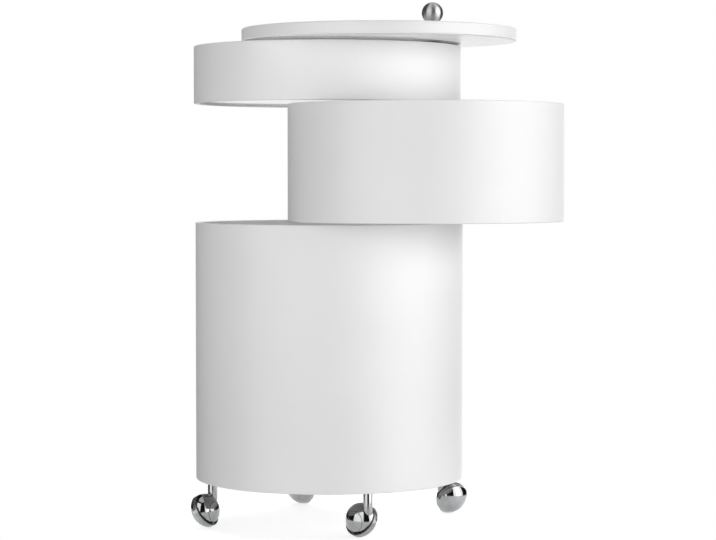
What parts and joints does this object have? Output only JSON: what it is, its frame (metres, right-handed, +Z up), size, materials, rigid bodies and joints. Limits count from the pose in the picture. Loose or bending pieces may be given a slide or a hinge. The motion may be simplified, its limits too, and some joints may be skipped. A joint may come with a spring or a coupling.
{
  "type": "bar cabinet",
  "caption": "Round bar cabinet on ball casters, whose stacked open drums and flat lid swing aside on an upright rod with a ball finial.",
  "frame": {"origin": "middle of the bounding box, on the floor that the casters stand on, in the swung-apart rest pose", "axes": "+Z up along the pivot rod, +X to the right and +Y to the back as seen in the picture"},
  "size_m": [0.5178, 0.4968, 0.7423],
  "materials": {
    "lacquer": "smooth white satin lacquer",
    "chrome": "polished",
    "steel": "plain turned steel",
    "nylon": "matt black"
  },
  "bodies": {
    "base": {"base_shell": "lacquer", "base_floor": "lacquer", "base_column": "chrome", "base_screw_1": "steel", "base_screw_2": "steel", "base_screw_3": "steel", "pivot_rod": "steel", "mid_thrust_washer": "nylon", "top_thrust_washer": "nylon", "lid_thrust_washer": "nylon", "knob_washer": "nylon", "ball_knob": "chrome", "caster_right_socket": "steel", "caster_back_socket": "steel", "caster_left_socket": "steel", "caster_front_socket": "steel"},
    "mid_drum": {"mid_shell": "lacquer", "mid_floor": "lacquer", "mid_sleeve": "chrome", "mid_screw_1": "steel", "mid_screw_2": "steel", "mid_screw_3": "steel"},
    "top_drum": {"top_shell": "lacquer", "top_floor": "lacquer", "top_sleeve": "chrome", "top_screw_1": "steel", "top_screw_2": "steel", "top_screw_3": "steel"},
    "lid": {"lid": "lacquer", "lid_bush": "chrome"},
    "caster_right_fork": {"caster_right_stem": "chrome", "caster_right_hood": "chrome", "caster_right_cap": "chrome", "caster_right_axle": "steel"},
    "caster_right_roller": {"caster_right_wheel": "chrome"},
    "caster_back_fork": {"caster_back_stem": "chrome", "caster_back_hood": "chrome", "caster_back_cap": "chrome", "caster_back_axle": "steel"},
    "caster_back_roller": {"caster_back_wheel": "chrome"},
    "caster_left_fork": {"caster_left_stem": "chrome", "caster_left_hood": "chrome", "caster_left_cap": "chrome", "caster_left_axle": "steel"},
    "caster_left_roller": {"caster_left_wheel": "chrome"},
    "caster_front_fork": {"caster_front_stem": "chrome", "caster_front_hood": "chrome", "caster_front_cap": "chrome", "caster_front_axle": "steel"},
    "caster_front_roller": {"caster_front_wheel": "chrome"}
  },
  "joints": [
    {"name": "mid_drum_swing", "type": "hinge", "parent": "base", "child": "mid_drum", "pos_m": [0.08306, 0.09681, 0.4301], "axis": [0, 0, 1], "continuous": true},
    {"name": "top_drum_swing", "type": "hinge", "parent": "base", "child": "top_drum", "pos_m": [0.08306, 0.09681, 0.5947], "axis": [0, 0, 1], "continuous": true},
    {"name": "lid_swing", "type": "hinge", "parent": "base", "child": "lid", "pos_m": [0.08306, 0.09681, 0.6793], "axis": [0, 0, 1], "continuous": true},
    {"name": "caster_right_swivel", "type": "hinge", "parent": "base", "child": "caster_right_fork", "pos_m": [0.09831, 0.1036, 0.0704], "axis": [0, 0, 1], "continuous": true},
    {"name": "caster_right_roll", "type": "hinge", "parent": "caster_right_fork", "child": "caster_right_roller", "pos_m": [0.11032, 0.11173, 0.02494], "axis": [-0.4589, 0.7344, 0.5], "continuous": true},
    {"name": "caster_back_swivel", "type": "hinge", "parent": "base", "child": "caster_back_fork", "pos_m": [-0.11982, 0.21283, 0.0704], "axis": [0, 0, 1], "continuous": true},
    {"name": "caster_back_roll", "type": "hinge", "parent": "caster_back_fork", "child": "caster_back_roller", "pos_m": [-0.10869, 0.20352, 0.02494], "axis": [0.5795, 0.6436, 0.5], "continuous": true},
    {"name": "caster_left_swivel", "type": "hinge", "parent": "base", "child": "caster_left_fork", "pos_m": [-0.22905, -0.0053, 0.0704], "axis": [0, 0, 1], "continuous": true},
    {"name": "caster_left_roll", "type": "hinge", "parent": "caster_left_fork", "child": "caster_left_roller", "pos_m": [-0.23539, -0.01835, 0.02494], "axis": [0.7647, -0.4066, 0.5], "continuous": true},
    {"name": "caster_front_swivel", "type": "hinge", "parent": "base", "child": "caster_front_fork", "pos_m": [-0.01092, -0.11453, 0.0704], "axis": [0, 0, 1], "continuous": true},
    {"name": "caster_front_roll", "type": "hinge", "parent": "caster_front_fork", "child": "caster_front_roller", "pos_m": [-0.02221, -0.10542, 0.02494], "axis": [-0.5682, -0.6536, 0.5], "continuous": true}
  ]
}
